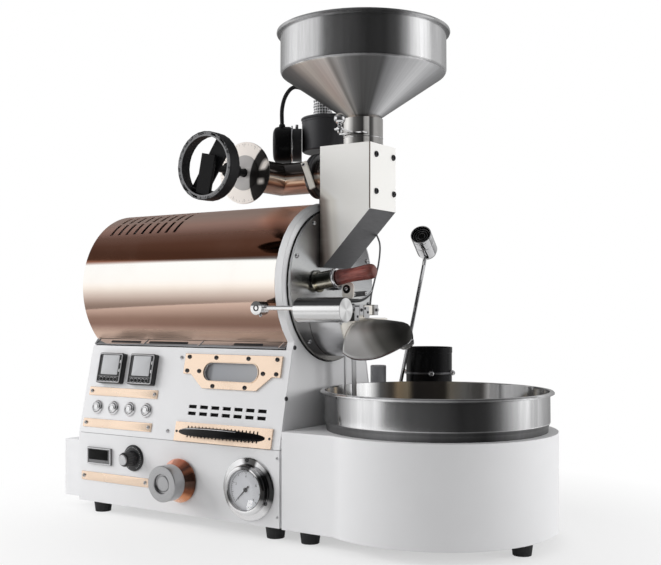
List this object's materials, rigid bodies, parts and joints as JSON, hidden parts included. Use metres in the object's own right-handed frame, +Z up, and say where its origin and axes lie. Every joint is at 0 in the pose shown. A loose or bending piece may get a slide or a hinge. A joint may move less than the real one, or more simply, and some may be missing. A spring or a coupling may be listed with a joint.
{
  "type": "home coffee bean roaster",
  "caption": "Drum coffee roaster on a cabinet with hopper, damper wheel, discharge door, sampling scoop, work lamp and a round stirred cooling tray.",
  "frame": {"origin": "centre of the bounding box at the level of the feet's soles", "axes": "+X from the drum towards the cooling tray, -Y towards the operator's panel, +Z up"},
  "size_m": [0.7229, 0.391, 0.666],
  "materials": {
    "white": "satin powder coat",
    "rose_gold": "mirror-polished rose-gold coated steel",
    "steel": "brushed stainless steel",
    "chrome": "polished",
    "dark_steel": "heat-darkened steel",
    "black": "satin black",
    "rubber": "matte",
    "glass": "clear pane over a dark inside",
    "wood": "red-brown lacquered",
    "red": "glossy"
  },
  "bodies": {
    "roaster": {"base_cabinet": "white", "left_end_plate": "white", "right_end_plate": "white", "front_panel": "white", "drum_casing": "rose_gold", "face_plate": "steel", "drive_belt": "rubber", "drum_motor": "black", "drive_cover": "white", "burner": "dark_steel", "gas_valve": "steel", "window_plate": "rose_gold", "sight_glass": "glass", "left_controller": "black", "right_controller": "black", "timer": "black", "gauge_case": "chrome", "chute_box": "steel", "hopper": "steel", "trier_port": "chrome", "outlet": "steel", "exhaust_pipe": "chrome", "fan_housing": "black", "fan_motor": "black", "fan_cable": "rubber", "cooling_base": "white", "cooling_tray": "steel", "tray_screen": "steel", "stir_motor": "black", "cooling_duct": "black", "cabinet_front_left_foot": "rubber", "cabinet_front_right_foot": "rubber", "cabinet_rear_left_foot": "rubber", "cooling_front_foot": "rubber", "cooling_right_foot": "rubber", "cooling_rear_foot": "rubber", "temperature_lead": "rubber"},
    "drum": {"roasting_drum": "dark_steel"},
    "motor_shaft": {"motor_pulley": "steel"},
    "drawer": {"chaff_drawer": "rose_gold"},
    "gate": {"hopper_gate": "chrome"},
    "trier_twist": {"trier_collar": "chrome"},
    "trier": {"trier_scoop": "steel", "trier_handle": "wood"},
    "door": {"discharge_door": "steel", "discharge_lever": "steel", "bean_hood": "steel"},
    "wheel": {"damper_wheel": "black"},
    "grip": {"wheel_handle": "black"},
    "dial": {"speed_dial": "black"},
    "gas": {"gas_knob": "steel"},
    "needle": {"gauge_needle": "black"},
    "stir": {"stirrer": "steel"},
    "lamp_stand": {"lamp_rod": "chrome"},
    "lamp_light": {"lamp_head": "chrome"},
    "lamp_key": {"lamp_switch": "red"},
    "key_1": {"button_1": "chrome"},
    "key_2": {"button_2": "chrome"},
    "key_3": {"button_3": "chrome"},
    "key_4": {"button_4": "chrome"}
  },
  "joints": [
    {"name": "drum_spin", "type": "hinge", "parent": "roaster", "child": "drum", "pos_m": [0.0525, -0.0265, 0.327], "axis": [1, 0, 0], "continuous": true},
    {"name": "motor_spin", "type": "hinge", "parent": "roaster", "child": "motor_shaft", "pos_m": [-0.3255, -0.0265, 0.06], "axis": [1, 0, 0], "continuous": true},
    {"name": "drawer_pull", "type": "slide", "parent": "roaster", "child": "drawer", "axis": [0, -1, 0], "range_m": [0, 0.12]},
    {"name": "gate_pull", "type": "slide", "parent": "roaster", "child": "gate", "axis": [0, -1, 0], "range_m": [0, 0.045]},
    {"name": "trier_turn", "type": "hinge", "parent": "roaster", "child": "trier_twist", "pos_m": [0.0602, -0.0695, 0.332], "axis": [0.9903, 0, 0.1392], "range_deg": [0, 180]},
    {"name": "trier_pull", "type": "slide", "parent": "trier_twist", "child": "trier", "axis": [0.9903, 0, 0.1392], "range_m": [0, 0.09]},
    {"name": "door_swing", "type": "hinge", "parent": "roaster", "child": "door", "pos_m": [0.1125, -0.0355, 0.294], "axis": [0, -1, 0], "range_deg": [0, 40]},
    {"name": "damper_turn", "type": "hinge", "parent": "roaster", "child": "wheel", "pos_m": [-0.0295, -0.1775, 0.478], "axis": [0, -1, 0], "range_deg": [0, 90]},
    {"name": "grip_fold", "type": "hinge", "parent": "wheel", "child": "grip", "pos_m": [-0.03605, -0.188, 0.44719], "axis": [0.9781, 0, -0.2079], "range_deg": [0, 90]},
    {"name": "speed_turn", "type": "hinge", "parent": "roaster", "child": "dial", "pos_m": [-0.2005, -0.1458, 0.0855], "axis": [0, -1, 0], "range_deg": [0, 270]},
    {"name": "gas_turn", "type": "hinge", "parent": "roaster", "child": "gas", "pos_m": [-0.1135, -0.1458, 0.0624], "axis": [0, -1, 0], "range_deg": [0, 180]},
    {"name": "needle_turn", "type": "hinge", "parent": "roaster", "child": "needle", "pos_m": [0.004, -0.1458, 0.0618], "axis": [0, 1, 0], "range_deg": [0, 270], "stiffness_Nm_per_rad": 0.0005},
    {"name": "stir_turn", "type": "hinge", "parent": "roaster", "child": "stir", "pos_m": [0.2055, -0.0095, 0.131], "axis": [0, 0, 1], "continuous": true},
    {"name": "lamp_swivel", "type": "hinge", "parent": "roaster", "child": "lamp_stand", "pos_m": [0.07, 0.1235, 0.1403], "axis": [0, 0, 1], "range_deg": [-20, 20]},
    {"name": "lamp_tilt", "type": "hinge", "parent": "lamp_stand", "child": "lamp_light", "pos_m": [0.12968, 0.10281, 0.36693], "axis": [0.9754, 0.2206, 0], "range_deg": [-10, 30]},
    {"name": "lamp_press", "type": "slide", "parent": "lamp_light", "child": "lamp_key", "axis": [0.1908, -0.8435, 0.5021], "range_m": [0, 0.001], "stiffness_N_per_m": 300},
    {"name": "key_1_press", "type": "slide", "parent": "roaster", "child": "key_1", "axis": [0, 0.9762, -0.2169], "range_m": [0, 0.0015], "stiffness_N_per_m": 300},
    {"name": "key_2_press", "type": "slide", "parent": "roaster", "child": "key_2", "axis": [0, 0.9762, -0.2169], "range_m": [0, 0.0015], "stiffness_N_per_m": 300},
    {"name": "key_3_press", "type": "slide", "parent": "roaster", "child": "key_3", "axis": [0, 0.9762, -0.2169], "range_m": [0, 0.0015], "stiffness_N_per_m": 300},
    {"name": "key_4_press", "type": "slide", "parent": "roaster", "child": "key_4", "axis": [0, 0.9762, -0.2169], "range_m": [0, 0.0015], "stiffness_N_per_m": 300}
  ],
  "couplings": [
    {"joint": "motor_spin", "follows": "drum_spin", "ratio": 2}
  ]
}
